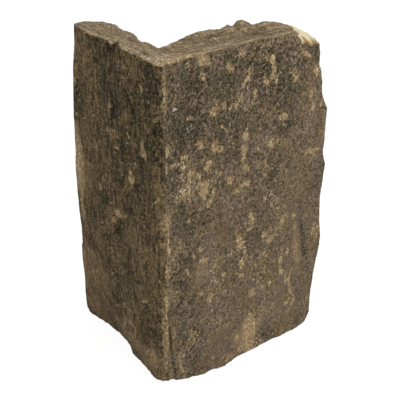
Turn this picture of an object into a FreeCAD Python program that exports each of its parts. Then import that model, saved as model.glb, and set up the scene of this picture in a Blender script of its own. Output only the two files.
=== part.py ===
import FreeCAD, Part

import os

import Sketcher

# Corner cladding stone: one solid L-shaped piece of split stone for the outside corner of a wall.
# The two outer faces are riven, the two back faces are sawn square, and the top and foot are broken.
# Setting out: X runs along the long leg, Y along the short return and Z up from the bed. The sizes
# are counted from a datum that lies outside the stone, so that every drawn distance is positive.

SIZES = (
    ("datum", 30, "setting-out lines, outside both riven faces"),
    ("margin", 25, "how far each cut runs past the stone"),
    ("height", 291, "top of the riven faces above the bed"),
    ("long_wall", 39.5, "thickness of the long leg"),
    ("return_wall", 23, "thickness of the return"),
    ("arris_round", 6, "worn width of the outer corner on each face"),
    ("arris_blunt", 0.6, "how far the outer corner stands out from the datum"),
    ("long_end_round", 3, "worn width of the long leg's outer end corner"),
    ("return_end_round", 8, "worn width of the return's outer end corner"),
    ("end_bow", 2.5, "how far the end faces bow out"),
    ("return_slant", 14, "how far the return's end runs back at the top"),
    ("return_belly", 4.5, "how far the return's face stands out past the corner"),
    ("long_swell", 1.5, "how far the long face stands out at the foot"),
    ("long_lean", 4, "how far the long face leans back from foot to top"),
    ("foot_swell", 2.5, "further swelling of the long face at the foot"),
    ("swell_height", 75, "height at which that swelling dies out"),
    ("long_ripple", 1.3, "height of the long face's upright ridges"),
    ("return_ripple", 1.6, "height of the return's upright ridges"),
    ("ripple_step", 118, "degrees of ripple from one ridge line to the next"),
    ("ripple_drift", 403, "degrees of ripple from the foot to the top"),
    ("foot_long", 149, "long leg at the foot"),
    ("foot_return", 138, "return at the foot"),
    ("toe_long", 155, "long leg at the toe"),
    ("toe_return", 140.5, "return at the toe"),
    ("heel_long", 160, "long leg at the heel"),
    ("heel_return", 140.5, "return at the heel"),
    ("shin_long", 160.3, "long leg at the shin"),
    ("shin_return", 138.8, "return at the shin, in its low step"),
    ("calf_long", 161.9, "long leg at the calf"),
    ("calf_return", 141.2, "return at the calf, above its low step"),
    ("knee_long", 164.3, "long leg at the knee"),
    ("knee_return", 141, "return at the knee"),
    ("thigh_long", 167.4, "long leg at the thigh, its lower bulge"),
    ("thigh_return", 140.2, "return at the thigh"),
    ("hip_long", 165, "long leg at the hip"),
    ("hip_return", 141.8, "return at the hip"),
    ("waist_long", 164.2, "long leg at the waist"),
    ("waist_return", 142, "return at the waist, its longest"),
    ("rib_long", 168, "long leg at the ribs, its middle knuckle"),
    ("rib_return", 139.6, "return at the ribs"),
    ("notch_long", 165.1, "long leg in the middle notch"),
    ("notch_return", 137.8, "return at the middle notch"),
    ("arm_long", 165.4, "long leg at the arm"),
    ("arm_return", 137, "return at the arm"),
    ("shoulder_long", 166.6, "long leg at the shoulder, its upper knuckle"),
    ("shoulder_return", 135.5, "return at the shoulder"),
    ("nape_long", 160.8, "long leg at the nape"),
    ("nape_return", 134.8, "return at the nape"),
    ("throat_long", 158.9, "long leg at the throat"),
    ("throat_return", 133.8, "return at the throat"),
    ("jaw_long", 158.1, "long leg at the jaw"),
    ("jaw_return", 133.2, "return at the jaw"),
    ("chin_long", 154.5, "long leg at the chin, its upper notch"),
    ("chin_return", 132.3, "return at the chin"),
    ("brow_long", 154, "long leg at the brow"),
    ("brow_return", 129.8, "return at the brow"),
    ("head_long", 153.4, "long leg at the head"),
    ("head_return", 129.2, "return at the head"),
    ("cap_long", 150, "long leg at the cap"),
    ("cap_return", 127.5, "return at the cap"),
    ("corner_drop", 1.5, "fall of the top at the outer corner"),
    ("crown_dish", 1.5, "hollow along the middle of the top"),
    ("inside_drop", 3.4, "fall of the top at the inside corner"),
    ("climb_place", 41, "where the top has climbed back to full height"),
    ("climb_rise", 0, "rise of the top's back edge there"),
    ("crown_place", 54, "start of the crown"),
    ("crown_rise", 3, "rise of the back edge there"),
    ("ridge_place", 70, "end of the crown"),
    ("ridge_rise", 3, "rise of the back edge there"),
    ("dip_place", 80, "shallow dip beyond the crown"),
    ("dip_rise", 1.5, "rise of the back edge there"),
    ("hump_place", 87.5, "hump before the nub"),
    ("hump_rise", 3.3, "rise of the back edge there"),
    ("gap_place", 92.8, "gap before the nub"),
    ("gap_rise", 1.6, "rise of the back edge there"),
    ("nub_place", 97, "near side of the pointed nub"),
    ("nub_rise", 5.6, "rise of the back edge there"),
    ("point_place", 101.3, "far side of the pointed nub"),
    ("point_rise", 5.3, "rise of the back edge there"),
    ("slope_place", 107, "slope beyond the nub"),
    ("slope_rise", 2.2, "rise of the back edge there"),
    ("saddle_place", 111.6, "saddle beyond the nub"),
    ("saddle_rise", -1.9, "rise of the back edge there"),
    ("knob_place", 118.5, "knob before the broken end corner"),
    ("knob_rise", -0.3, "rise of the back edge there"),
    ("break_place", 123, "start of the broken end corner on the outer face"),
    ("break_run", 10, "length of the steep part of that break"),
    ("break_drop", 9, "depth of the steep part of that break"),
    ("break_bend", 142, "where that break bends"),
    ("bend_fall", 13, "depth of that break on the outer face where it bends"),
    ("break_fall", 15, "depth of that break at the outer end corner"),
    ("back_start", 2.4, "depth of that break's back edge at the foot of its steep part"),
    ("back_bend", 5, "depth of that break's back edge where it bends"),
    ("back_fall", 11, "depth of that break at the back end corner"),
    ("cove_place", 52, "start of the cove in the return's top"),
    ("cove_outer", 0.5, "fall of the top's outer edge there"),
    ("cove_inner", 2.4, "fall of the top's inner edge there"),
    ("scoop_place", 63, "bottom of the cove in the return's top"),
    ("scoop_outer", 0.5, "fall of the top's outer edge there"),
    ("scoop_inner", 4.8, "fall of the top's inner edge there"),
    ("lift_place", 76, "lift beyond the cove"),
    ("lift_outer", 1.2, "fall of the top's outer edge there"),
    ("lift_inner", 0.7, "fall of the top's inner edge there"),
    ("wave_place", 91, "wave in the return's top"),
    ("wave_outer", 2, "fall of the top's outer edge there"),
    ("wave_inner", 2, "fall of the top's inner edge there"),
    ("lobe_place", 103, "lobe in the return's top"),
    ("lobe_outer", 1.3, "fall of the top's outer edge there"),
    ("lobe_inner", 0.7, "fall of the top's inner edge there"),
    ("lip_place", 128, "end of the return's top"),
    ("lip_outer", 2.4, "fall of the top's outer edge there"),
    ("lip_inner", 4, "fall of the top's inner edge there"),
    ("furrow_place", 67, "upright furrow in the return from the corner"),
    ("furrow_width", 20, "width of that furrow's long slope"),
    ("furrow_bank", 5, "width of that furrow's steep bank"),
    ("furrow_depth", 9, "depth of that furrow at the top"),
    ("furrow_length", 28, "length of that furrow down from the top"),
    ("nose_chip", 12, "wear of the foot at the corner"),
    ("nose_fade", 9.6, "wear of the foot at the end of the corner's rounding"),
    ("welt_place", 9, "where the corner's wear fades on the long foot"),
    ("welt_chip", 6.5, "wear of the foot there"),
    ("instep_place", 18, "first point of the long foot"),
    ("instep_chip", 4.3, "wear of the foot there"),
    ("sole_place", 32, "second point of the long foot"),
    ("sole_chip", 1, "wear of the foot there"),
    ("ball_place", 42, "third point of the long foot"),
    ("ball_chip", 2.6, "wear of the foot there"),
    ("sound_place", 54, "fourth point of the long foot"),
    ("sound_chip", 0.8, "wear of the foot there"),
    ("bite_place", 70, "fifth point of the long foot"),
    ("bite_chip", 3.8, "wear of the foot there"),
    ("ledge_place", 88, "sixth point of the long foot"),
    ("ledge_chip", 4.2, "wear of the foot there"),
    ("arch_place", 111, "seventh point of the long foot"),
    ("arch_chip", 6.8, "wear of the foot there"),
    ("rear_place", 135, "eighth point of the long foot"),
    ("rear_chip", 5.4, "wear of the foot there"),
    ("heel_chip", 9, "wear of the foot at the end of the long leg"),
    ("flake_place", 28, "start of the flake off the foot of the return"),
    ("flake_rise", 14, "height of that flake there"),
    ("flake_depth", 4.2, "depth of that flake there"),
    ("spur_place", 45, "spur of that flake"),
    ("spur_rise", 26, "height of that flake there"),
    ("spur_depth", 5, "depth of that flake there"),
    ("step_place", 58, "where that flake grows deep"),
    ("step_rise", 32, "height of that flake there"),
    ("step_depth", 5.5, "depth of that flake there"),
    ("shelf_place", 69, "foot of its steep step"),
    ("shelf_rise", 39, "height of that flake there"),
    ("shelf_depth", 10, "depth of that flake there"),
    ("bowl_place", 90, "its deepest point"),
    ("bowl_rise", 49, "height of that flake there"),
    ("bowl_depth", 12.1, "depth of that flake there"),
    ("late_place", 112, "last point before the end of the return"),
    ("late_rise", 58, "height of that flake there"),
    ("late_depth", 10.5, "depth of that flake there"),
    ("tail_rise", 68, "height of that flake at the end of the return"),
    ("tail_depth", 6.3, "depth of that flake at the end of the return"),
)

# The levels of the block from the bed up, each with its height, and the points along the block's
# top and foot. Each name stands for the rows of the sheet that begin with it.
LEVELS = (
    ("foot", "0 * $height"),
    ("toe", "0.0206 * $height"),
    ("heel", "0.055 * $height"),
    ("shin", "0.1443 * $height"),
    ("calf", "0.1959 * $height"),
    ("knee", "0.2474 * $height"),
    ("thigh", "0.3299 * $height"),
    ("hip", "0.3849 * $height"),
    ("waist", "0.4605 * $height"),
    ("rib", "0.567 * $height"),
    ("notch", "0.6014 * $height"),
    ("arm", "0.646 * $height"),
    ("shoulder", "0.7457 * $height"),
    ("nape", "0.7835 * $height"),
    ("throat", "0.8247 * $height"),
    ("jaw", "0.8591 * $height"),
    ("chin", "0.8866 * $height"),
    ("brow", "0.9347 * $height"),
    ("head", "0.9588 * $height"),
    ("cap", "$height + $margin"),
)
CROWN = ("climb", "crown", "ridge", "dip", "hump", "gap", "nub", "point", "slope", "saddle", "knob")
RIM = ("cove", "scoop", "lift", "wave", "lobe", "lip")
LONG_FOOT = ("welt", "instep", "sole", "ball", "sound", "bite", "ledge", "arch", "rear")
RETURN_FOOT = ("flake", "spur", "step", "shelf", "bowl", "late")

LONG_RIDGES = 7
RETURN_RIDGES = 6

doc = FreeCAD.newDocument("CornerStone")


def make_sheet():
    """Write every driving dimension into the sheet, one row each, and name its cell."""
    table = doc.addObject("Spreadsheet::Sheet", "Sizes")
    for number, (name, value, note) in enumerate(SIZES, start=1):
        table.set("A%d" % number, name)
        table.set("B%d" % number, str(value))
        table.setAlias("B%d" % number, name)
        table.set("C%d" % number, note)
    return table


sheet = make_sheet()
doc.recompute()


def bound(text):
    """Turn words of the sheet, written as $name, into an expression."""
    return text.replace("$", "Sizes.")


def origin_plane(body, role):
    """Find one of the body's own origin planes."""
    for feature in body.Origin.OriginFeatures:
        if feature.Role == role:
            return feature
    raise ValueError("no origin plane " + role)


def outline(body, name, role, offset, corners):
    """Draw a closed outline of straight edges, with every corner bound to the sheet."""
    sketch = body.newObject("Sketcher::SketchObject", name)
    sketch.AttachmentSupport = [(origin_plane(body, role), "")]
    sketch.MapMode = "FlatFace"
    sketch.setExpression("AttachmentOffset.Base.z", bound(offset))
    points = []
    for across, up in corners:
        first = sheet.evalExpression(bound(across))
        second = sheet.evalExpression(bound(up))
        points.append(FreeCAD.Vector(float(first), float(second), 0))
    count = len(points)
    for number in range(count):
        sketch.addGeometry(Part.LineSegment(points[number], points[(number + 1) % count]), False)
    for number in range(count):
        sketch.addConstraint(Sketcher.Constraint("Coincident", number, 2, (number + 1) % count, 1))
    for number, (across, up) in enumerate(corners):
        point = points[number]
        for kind, text, value in (("DistanceX", across, point.x), ("DistanceY", up, point.y)):
            index = sketch.addConstraint(Sketcher.Constraint(kind, -1, 1, number, 1, value))
            sketch.setExpression("Constraints[%d]" % index, bound(text))
    return sketch


def ripple(size, ridge, level):
    """Riven relief: upright ridges that drift sideways with the height."""
    turn = "$ripple_step * %d + $ripple_drift * (%s) / $height" % (ridge, level)
    return "$%s * sin(%s)" % (size, turn)


def spaced(reach, end_round, ridge, ridges):
    """Place of one ridge line, evenly spaced between the worn corners of a face."""
    return "$datum + $arris_round + (%s - $arris_round - $%s) * %d / %d" % (reach, end_round, ridge, ridges)


def block_section(name, level):
    """Outline of the rough block at one level, round from the outer corner."""
    long_reach = "$" + name + "_long"
    return_reach = "$" + name + "_return"
    face = "$datum - $long_swell + $long_lean * (%s) / $height" % level
    slant = "$return_slant * (%s) / $height" % level
    bulge = "$foot_swell * max(0; 1 - (%s) / $swell_height)" % level
    corners = [("$datum - $arris_blunt", "$datum - $arris_blunt")]
    for ridge in range(LONG_RIDGES + 1):
        swelling = " - %s * sin(180 * %d / %d)" % (bulge, ridge, LONG_RIDGES)
        out = face + " + " + ripple("long_ripple", ridge, level) + swelling
        corners.append((spaced(long_reach, "long_end_round", ridge, LONG_RIDGES), out))
    corners.append(("$datum + " + long_reach, "$datum + $long_end_round"))
    corners.append(("$datum + $end_bow + " + long_reach, "$datum + $long_wall / 2"))
    corners.append(("$datum - $end_bow + " + long_reach, "$datum + $long_wall + $margin"))
    corners.append(("$datum + $return_wall + $margin", "$datum - 2 * (%s) + " % slant + return_reach))
    corners.append(("$datum + $return_wall / 2", "$datum + $end_bow / 2 + " + return_reach))
    corners.append(("$datum", "$datum + " + return_reach))
    for ridge in range(RETURN_RIDGES, -1, -1):
        out = "$datum - $return_belly + " + ripple("return_ripple", ridge, level)
        corners.append((out, spaced(return_reach, "return_end_round", ridge, RETURN_RIDGES)))
    return corners


def make_block(body):
    """Split block: sections of the rough outline, joined from the bed to above the top."""
    sections = []
    for name, level in LEVELS:
        sections.append(outline(body, name + "_outline", "XY_Plane", level, block_section(name, level)))
    doc.recompute()
    block = body.newObject("PartDesign::AdditiveLoft", "split_block")
    block.Profile = sections[0]
    block.Sections = sections[1:]
    block.Ruled = True
    doc.recompute()
    return block


def make_sawn_back(body):
    """Sawn back: one square cut that leaves a leg's wall on each side."""
    corners = [
        ("$datum + $return_wall", "$datum + $long_wall"),
        ("$datum + $rib_long + 2 * $margin", "$datum + $long_wall"),
        ("$datum + $rib_long + 2 * $margin", "$datum + $waist_return + 2 * $margin"),
        ("$datum + $return_wall", "$datum + $waist_return + 2 * $margin"),
    ]
    sketch = outline(body, "sawn_corner", "XY_Plane", "0 * $margin", corners)
    doc.recompute()
    cut = body.newObject("PartDesign::Pocket", "sawn_back")
    cut.Profile = sketch
    cut.Type = "ThroughAll"
    cut.Midplane = True
    doc.recompute()
    return cut


def loft_cut(body, name, sketches):
    """Remove what lies between the given outlines, which are joined by straight lines."""
    doc.recompute()
    cut = body.newObject("PartDesign::SubtractiveLoft", name)
    cut.Profile = sketches[0]
    cut.Sections = sketches[1:]
    cut.Ruled = True
    doc.recompute()
    return cut


def top_stations():
    """Stations of the broken top: place, side of the return, and front, middle and back height."""
    worn = "$height - $corner_drop"
    dish = "$height - $crown_dish"
    inside = "$height - $inside_drop"
    steep = "$height - $break_drop"
    bend = "$height - $bend_fall"
    outer_end = "$height - $break_fall"
    back_end = "$height - $back_fall"
    stations = [
        ("$datum - $margin", "outer", worn, worn, "$height"),
        ("$datum + $arris_round", "outer", worn, worn, "$height"),
        ("$datum + $return_wall", "inner", "$height", dish, inside),
    ]
    for name in CROWN:
        stations.append(("$datum + $%s_place" % name, "inner", "$height", dish, "$height + $%s_rise" % name))
    stations.append(("$datum + $break_place", "inner", "$height", dish, "$height + $knob_rise"))
    foot = "$datum + $break_place + $break_run"
    stations.append((foot, "inner", steep, "$height - $back_start", "$height - $back_start"))
    stations.append(("$datum + $break_bend", "inner", bend, "$height - $back_bend", "$height - $back_bend"))
    stations.append(("$datum + $chin_long", "inner", outer_end, back_end, back_end))
    stations.append(("$datum + $rib_long + $margin", "inner", outer_end, back_end, back_end))
    return stations


def make_broken_top(body):
    """Broken top: stations along the long leg, each with its own line from front to back."""
    far = "$datum + $waist_return + $margin"
    above = "$height + 2 * $margin"
    sketches = []
    for number, (along, side, front, middle, back) in enumerate(top_stations(), start=1):
        corners = [
            ("$datum - $margin", front),
            ("$datum + $long_end_round", front),
            ("$datum + $long_wall / 2", middle),
            ("$datum + $long_wall", back),
        ]
        for name in RIM:
            corners.append(("$datum + $%s_place" % name, "$height - $%s_%s" % (name, side)))
        corners.append((far, "$height - $lip_%s - $margin / 2" % side))
        corners.append((far, above))
        corners.append(("$datum - $margin", above))
        sketches.append(outline(body, "top_line_%d" % number, "YZ_Plane", along, corners))
    return loft_cut(body, "broken_top", sketches)


def make_worn_foot(body):
    """Wear along the foot of the long leg, deepest at the corner and at the end."""
    stations = [("$datum - $margin", "$nose_chip"), ("$datum + $arris_round", "$nose_fade")]
    for name in LONG_FOOT:
        stations.append(("$datum + $%s_place" % name, "$%s_chip" % name))
    stations.append(("$datum + $heel_long", "$heel_chip"))
    stations.append(("$datum + $heel_long + $margin", "$heel_chip"))
    sketches = []
    for number, (place, size) in enumerate(stations, start=1):
        corners = [
            ("$datum - $margin", "-$margin"),
            ("$datum + 2 * (%s)" % size, "-$margin"),
            ("$datum + 2 * (%s)" % size, "0 * $margin"),
            ("$datum - $long_swell - $foot_swell", size),
            ("$datum - $margin", size),
        ]
        sketches.append(outline(body, "foot_wear_%d" % number, "YZ_Plane", place, corners))
    return loft_cut(body, "worn_foot", sketches)


def make_spalled_foot(body):
    """Flake off the foot of the return, which widens from the corner to the end."""
    stations = [
        ("$datum - $margin", "$nose_chip", "$nose_chip"),
        ("$datum + $arris_round", "$welt_chip", "$welt_chip"),
        ("$datum + $instep_place", "$instep_chip", "$instep_chip"),
    ]
    for name in RETURN_FOOT:
        stations.append(("$datum + $%s_place" % name, "$%s_rise" % name, "$%s_depth" % name))
    stations.append(("$datum + $foot_return", "$tail_rise", "$tail_depth"))
    stations.append(("$datum + $foot_return + $margin", "$tail_rise", "$tail_depth"))
    sketches = []
    for number, (place, rise, depth) in enumerate(stations, start=1):
        corners = [
            ("$datum - $margin", "-$margin"),
            ("$datum - $return_belly + " + depth, "-$margin"),
            ("$datum - $return_belly + " + depth, "0 * $margin"),
            ("$datum - $return_belly - $return_ripple", rise),
            ("$datum - $margin", rise),
        ]
        sketches.append(outline(body, "foot_flake_%d" % number, "XZ_Plane", "-(%s)" % place, corners))
    return loft_cut(body, "spalled_foot", sketches)


def make_furrow(body):
    """Upright furrow in the return, deepest at the top and running out below."""
    slope = "$datum + $furrow_place - $furrow_width"
    bank = "$datum + $furrow_place + $furrow_bank"
    outside = "$datum - $return_belly - 2 * $return_ripple"
    sketches = []
    for name, place, bed in (
            ("furrow_head", "$height + $crown_rise", "$datum - $return_belly + $furrow_depth"),
            ("furrow_tail", "$height - $furrow_length", "$datum - $return_belly - $return_ripple")):
        corners = [
            ("$datum - $margin", slope),
            (outside, slope),
            (bed, "$datum + $furrow_place"),
            (outside, bank),
            ("$datum - $margin", bank),
        ]
        sketches.append(outline(body, name, "XY_Plane", place, corners))
    return loft_cut(body, "furrow", sketches)


def make_stone():
    """Model the stone in the order in which a mason would make it and time would wear it."""
    body = doc.addObject("PartDesign::Body", "CornerStone")
    body.Label = "corner_stone"
    volumes = []
    for step in (make_block, make_sawn_back, make_broken_top, make_worn_foot, make_spalled_foot, make_furrow):
        feature = step(body)
        body.Tip = feature
        volumes.append((feature.Name, feature.Shape.Volume))
    for (before, larger), (after, smaller) in zip(volumes, volumes[1:]):
        if smaller >= larger:
            raise ValueError(after + " removed nothing from " + before)
    return body


def stand_on_origin(body):
    """Stand the stone with its bed at height 0 and its box centred over the origin."""
    box = body.Shape.optimalBoundingBox(False, False)
    corner = FreeCAD.Vector(-box.Center.x, -box.Center.y, 0)
    body.Placement = FreeCAD.Placement(corner, FreeCAD.Rotation())
    doc.recompute()
    datum = sheet.get("datum")
    print("datum lines cross at x %.3f, y %.3f" % (corner.x + datum, corner.y + datum))
    print("box %.3f by %.3f by %.3f" % (box.XLength, box.YLength, box.ZLength))


def check_and_write(bodies):
    """Stop at any failed object or bad solid, then write each piece to its own file."""
    for item in doc.Objects:
        if "Invalid" in item.State or "Error" in item.State:
            raise ValueError(item.Name + " failed: " + ", ".join(item.State))
    for body in bodies:
        if body.Shape.isNull() or not body.Shape.isValid() or len(body.Shape.Solids) != 1:
            raise ValueError(body.Label + " is not one sound solid")
    os.makedirs("parts", exist_ok=True)
    for body in bodies:
        body.Shape.exportStep("parts/" + body.Label + ".step")


stone = make_stone()
stand_on_origin(stone)
check_and_write([stone])
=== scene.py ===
"""Looks of a riven stone corner piece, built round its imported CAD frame.

Places on the stone are millimetres from its setting-out corner, where the mean planes of the two
riven faces meet at bed level: x runs along the long leg, y along the return and z up. A field whose
name ends in _mm is in millimetres. Everything that is handed to Blender is in metres.
"""

import logging
import math
from dataclasses import dataclass
from enum import Enum
from typing import Any, Callable

import bmesh
import bpy
import numpy as np
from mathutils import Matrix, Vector


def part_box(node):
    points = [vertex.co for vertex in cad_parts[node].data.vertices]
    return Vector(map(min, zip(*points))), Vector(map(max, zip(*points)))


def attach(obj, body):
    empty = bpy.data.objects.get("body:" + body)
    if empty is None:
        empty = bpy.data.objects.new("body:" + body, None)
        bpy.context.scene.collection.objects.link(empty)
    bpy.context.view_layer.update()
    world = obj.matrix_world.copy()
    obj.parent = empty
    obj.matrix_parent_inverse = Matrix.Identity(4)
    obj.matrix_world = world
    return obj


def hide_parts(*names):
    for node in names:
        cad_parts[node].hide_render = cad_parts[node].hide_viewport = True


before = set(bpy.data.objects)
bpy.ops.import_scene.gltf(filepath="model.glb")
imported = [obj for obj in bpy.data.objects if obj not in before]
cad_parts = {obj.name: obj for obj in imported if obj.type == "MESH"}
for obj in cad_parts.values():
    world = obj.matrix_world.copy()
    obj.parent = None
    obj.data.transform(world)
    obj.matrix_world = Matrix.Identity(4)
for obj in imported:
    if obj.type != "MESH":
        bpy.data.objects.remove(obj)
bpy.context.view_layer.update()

MM = 0.001
WHITE = (1.0, 1.0, 1.0)

# Noises and ramps run from 0 to 1, and this is their middle.
MIDDLE = 0.5

# How marks are bent, so that their outlines are uneven: a slow wave that curls, and a quick one.
SLOW_SWING_MM = 0.9
SLOW_PITCH_MM = 2.9
CURL = 1.7
CURL_PITCH_MM = 4.3
QUICK_SWING_MM = 0.8
QUICK_PITCH_MM = 1.3
DRIFT_PITCH_MM = 5.1

# How sharply a mark ends: 1 fades like a bell, and more gives it an edge.
MARK_FALLOFF = 1.5

log = logging.getLogger("corner_stone")

Colour = tuple[float, float, float, float]
Ramp = tuple[tuple[float, Colour], ...]
Band = tuple[float, float]
Point2 = tuple[float, float]
Point3 = tuple[float, float, float]


def srgb(red: int, green: int, blue: int) -> Colour:
    """Turns a colour as a screen shows it into the linear one that a shader takes.

    Args:
        red: Red, 0 to 255.
        green: Green, 0 to 255.
        blue: Blue, 0 to 255.

    Returns:
        Linear red, green, blue and an alpha of 1, by the standard curve.
    """
    parts = [value / 255 for value in (red, green, blue)]
    line = [p / 12.92 if p <= 0.04045 else ((p + 0.055) / 1.055) ** 2.4 for p in parts]
    return (line[0], line[1], line[2], 1.0)


def ease(value: np.ndarray, low: float, high: float) -> np.ndarray:
    """Rises smoothly from 0 at low to 1 at high, or falls where low is the larger.

    Args:
        value: The numbers to judge.
        low: Where the result is 0.
        high: Where the result is 1.

    Returns:
        Numbers from 0 to 1.
    """
    part = np.clip((value - low) / (high - low), 0, 1)
    return part * part * (3 - 2 * part)


class Wire:
    """A node's output, on which Python's operators add Math and Vector Math nodes."""

    def __init__(self, graph: "Graph", socket: bpy.types.NodeSocket) -> None:
        """Keeps the output and the graph it belongs to."""
        self.graph = graph
        self.socket = socket

    @classmethod
    def constant(cls, graph: "Graph", colour: Colour) -> "Wire":
        """Adds a node that holds one colour.

        Args:
            graph: The graph that it joins.
            colour: The colour that it holds.

        Returns:
            The colour's output.
        """
        made = graph.node("ShaderNodeRGB")
        made.socket.default_value = colour
        return made

    @property
    def wide(self) -> bool:
        """Whether the output carries three numbers and not one."""
        return self.socket.type in {"VECTOR", "RGBA"}

    def join(self, operation: str, left: Any, right: Any) -> "Wire":
        """Adds the node for one operation.

        Args:
            operation: The operation's name in Math and Vector Math.
            left: A wire, a number or three numbers.
            right: A wire, a number or three numbers.

        Returns:
            The operation's output.
        """
        wide = any(isinstance(p, tuple) or getattr(p, "wide", False) for p in (left, right))
        kind = "ShaderNodeVectorMath" if wide else "ShaderNodeMath"
        return self.graph.node(kind, {"operation": operation}, {0: left, 1: right})

    def __add__(self, other: Any) -> "Wire":
        """Adds."""
        return self.join("ADD", self, other)

    __radd__ = __add__

    def __sub__(self, other: Any) -> "Wire":
        """Subtracts."""
        return self.join("SUBTRACT", self, other)

    def __rsub__(self, other: Any) -> "Wire":
        """Subtracts this wire from something else."""
        return self.join("SUBTRACT", other, self)

    def __mul__(self, other: Any) -> "Wire":
        """Multiplies, and scales three numbers by one.

        Args:
            other: A wire, a number or three numbers.

        Returns:
            The product.
        """
        if self.wide and not isinstance(other, tuple) and not getattr(other, "wide", False):
            settings = {"operation": "SCALE"}
            return self.graph.node("ShaderNodeVectorMath", settings, {0: self, "Scale": other})
        return self.join("MULTIPLY", self, other)

    __rmul__ = __mul__

    def larger(self, other: Any) -> "Wire":
        """Takes the larger of two numbers."""
        return self.join("MAXIMUM", self, other)

    def size(self) -> "Wire":
        """Takes a number without its sign."""
        return self.graph.node("ShaderNodeMath", {"operation": "ABSOLUTE"}, {0: self})


class Graph:
    """A node tree under construction, in a material or in Geometry Nodes."""

    def __init__(self, tree: bpy.types.NodeTree) -> None:
        """Empties the tree."""
        tree.nodes.clear()
        self.tree = tree

    def node(self, kind: str, settings: dict[str, Any] | None = None,
             inputs: dict[int | str, Any] | None = None, output: int | str = 0) -> Wire:
        """Adds one node, sets it up and feeds its sockets.

        Args:
            kind: The node's type.
            settings: Properties that are set first. "stops" holds a colour ramp's stops.
            inputs: Values or wires, by the socket's index or name.
            output: The index or name of the output to hand on.

        Returns:
            The chosen output.
        """
        made = self.tree.nodes.new(kind)
        for name, value in (settings or {}).items():
            if name == "stops":
                self._stops(made.color_ramp, value)
            else:
                setattr(made, name, value)
        for key, value in (inputs or {}).items():
            if isinstance(value, Wire):
                self.tree.links.new(value.socket, made.inputs[key])
            else:
                made.inputs[key].default_value = value
        return Wire(self, made.outputs[output] if len(made.outputs) else made.inputs[0])

    @staticmethod
    def _stops(ramp: bpy.types.ColorRamp, stops: Ramp) -> None:
        """Writes a ramp's stops.

        Args:
            ramp: The ramp to fill.
            stops: The position and the colour of each stop.
        """
        while len(ramp.elements) < len(stops):
            ramp.elements.new(1.0)
        for element, (position, colour) in zip(ramp.elements, stops):
            element.position = position
            element.color = colour

    def axis(self, place: Wire, name: str) -> Wire:
        """Takes one of a place's three numbers, by the name X, Y or Z."""
        return self.node("ShaderNodeSeparateXYZ", inputs={0: place}, output=name)

    def ease(self, value: Wire, low: float, high: float) -> Wire:
        """Adds a smooth rise from 0 at low to 1 at high.

        Args:
            value: The number to judge.
            low: Where the result is 0.
            high: Where the result is 1.

        Returns:
            A number from 0 to 1.
        """
        settings = {"interpolation_type": "SMOOTHSTEP"}
        inputs = {"Value": value, "From Min": low, "From Max": high}
        return self.node("ShaderNodeMapRange", settings, inputs)

    def ramp(self, level: Wire, stops: Ramp) -> Wire:
        """Adds a colour ramp, whose middle stands for a level of 0."""
        return self.node("ShaderNodeValToRGB", {"stops": stops}, {"Fac": level + MIDDLE})

    def blend(self, part: Any, first: Any, second: Any) -> Wire:
        """Mixes two colours.

        Args:
            part: The second colour's share, as a wire or a number.
            first: A colour or a wire.
            second: A colour or a wire.

        Returns:
            The mixed colour.
        """
        inputs = {0: part, 6: first, 7: second}
        return self.node("ShaderNodeMix", {"data_type": "RGBA"}, inputs, output=2)


@dataclass(frozen=True)
class Grain:
    """One fractal noise: its size along each axis, its finer layers and a number to pick it."""

    x_mm: float
    y_mm: float
    z_mm: float
    detail: float
    roughness: float
    seed: float

    def noise(self, graph: Graph, place: Wire) -> Wire:
        """Adds the noise, which swings evenly either side of 0.

        Args:
            graph: The graph that it joins.
            place: Where it is read, in millimetres.

        Returns:
            A number, mostly within -0.35 and 0.35.
        """
        spread = place * (1 / self.x_mm, 1 / self.y_mm, 1 / self.z_mm)
        inputs = {"Vector": spread, "W": self.seed, "Scale": 1.0, "Detail": self.detail,
                  "Roughness": self.roughness}
        return graph.node("ShaderNodeTexNoise", {"noise_dimensions": "4D"}, inputs) - MIDDLE


class Face(Enum):
    """The sides that carry marks, each with the two axes that run across it and up it."""

    LONG = (0, 2)
    RETURN = (1, 2)
    TOP = (0, 1)

    def flat(self, place: np.ndarray) -> tuple[np.ndarray, np.ndarray]:
        """Gives the two coordinates that run across and up this side."""
        across, up = self.value
        return place[:, across], place[:, up]


def strayed(place: np.ndarray) -> np.ndarray:
    """Shifts points by up to about two millimetres, so that marks get uneven outlines.

    Args:
        place: Points in the stone's own millimetres.

    Returns:
        The shifted points.
    """
    turned = place[:, [1, 2, 0]]
    slow = SLOW_SWING_MM * np.sin(turned / SLOW_PITCH_MM + CURL * np.sin(place / CURL_PITCH_MM))
    quick = QUICK_SWING_MM * np.sin(turned / QUICK_PITCH_MM + place / DRIFT_PITCH_MM)
    return place + (slow + quick)


@dataclass(frozen=True)
class Mark:
    """One rounded place that stands out from the stone round it."""

    across_mm: float
    up_mm: float
    width_mm: float
    length_mm: float
    lean_deg: float = 0.0
    tan: float = 0.0
    pale: float = 0.0
    dark: float = 0.0
    # Wear, and the painted light on the rounded end of the return.
    worn: float = 0.0
    sunk_mm: float = 0.0

    def cover(self, across: np.ndarray, up: np.ndarray) -> np.ndarray:
        """Says how strongly the mark covers each point.

        Args:
            across: How far across the face each point lies.
            up: How far up the face each point lies.

        Returns:
            1 at the middle of the mark, fading to 0 outside it.
        """
        lean = math.radians(self.lean_deg)
        du = across - self.across_mm
        dv = up - self.up_mm
        aside = (du * math.cos(lean) - dv * math.sin(lean)) * 2 / self.width_mm
        along = (du * math.sin(lean) + dv * math.cos(lean)) * 2 / self.length_mm
        return np.exp(-((aside**2 + along**2) ** MARK_FALLOFF))


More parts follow.
